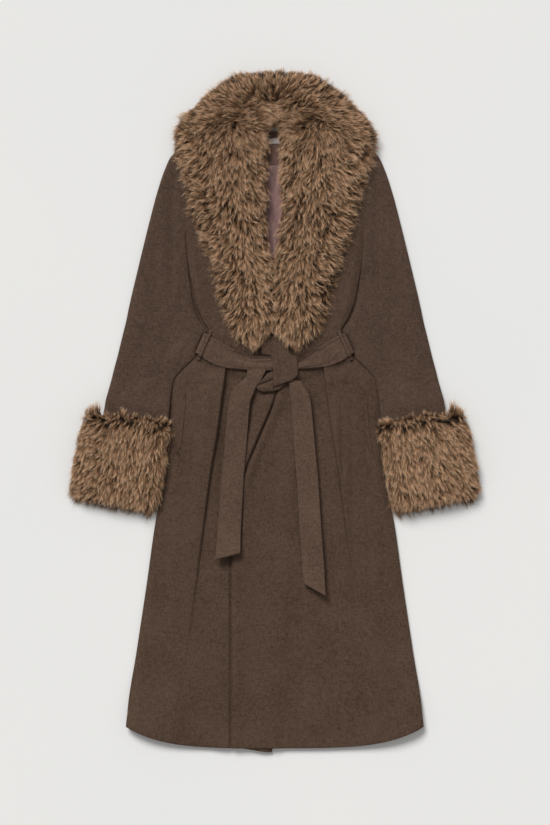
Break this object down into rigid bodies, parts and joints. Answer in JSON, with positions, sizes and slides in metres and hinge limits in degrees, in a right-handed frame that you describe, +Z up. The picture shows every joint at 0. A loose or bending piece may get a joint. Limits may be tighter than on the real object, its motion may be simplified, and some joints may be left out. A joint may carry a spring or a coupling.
{
  "type": "belted wool coat with fur collar and cuffs, laid flat",
  "caption": "Long wool coat laid flat, with a fur shawl collar, deep fur cuffs and a knotted self belt.",
  "frame": {"origin": "middle of the coat's outline, on the surface that it lies on", "axes": "+X to the wearer's left, +Y from the hem to the collar, +Z up from the surface"},
  "size_m": [0.7596, 1.2575, 0.0522],
  "materials": {
    "wool": "matte heathered dark brown wool coating with a short nap",
    "fur": "long wavy fur in tufts, tan tips over a darker brown ground",
    "lining": "smooth dusty mauve lining twill with a soft sheen",
    "label": "blank woven ribbon, pale"
  },
  "bodies": {
    "root": {"back": "wool", "back_lining": "lining", "neck_facing": "wool", "neck_label": "label", "front_right": "wool", "front_left": "wool", "sleeve_right": "wool", "sleeve_left": "wool", "cuff_right": "fur", "cuff_left": "fur", "collar_right": "fur", "collar_left": "fur", "belt_front_right": "wool", "belt_front_left": "wool", "belt_back": "wool", "belt_loop_right": "wool", "belt_loop_left": "wool", "pocket_edge_right": "wool", "pocket_edge_left": "wool", "knot_band": "wool", "knot_lobe": "wool", "tail_right": "wool", "tail_left": "wool"}
  },
  "joints": []
}
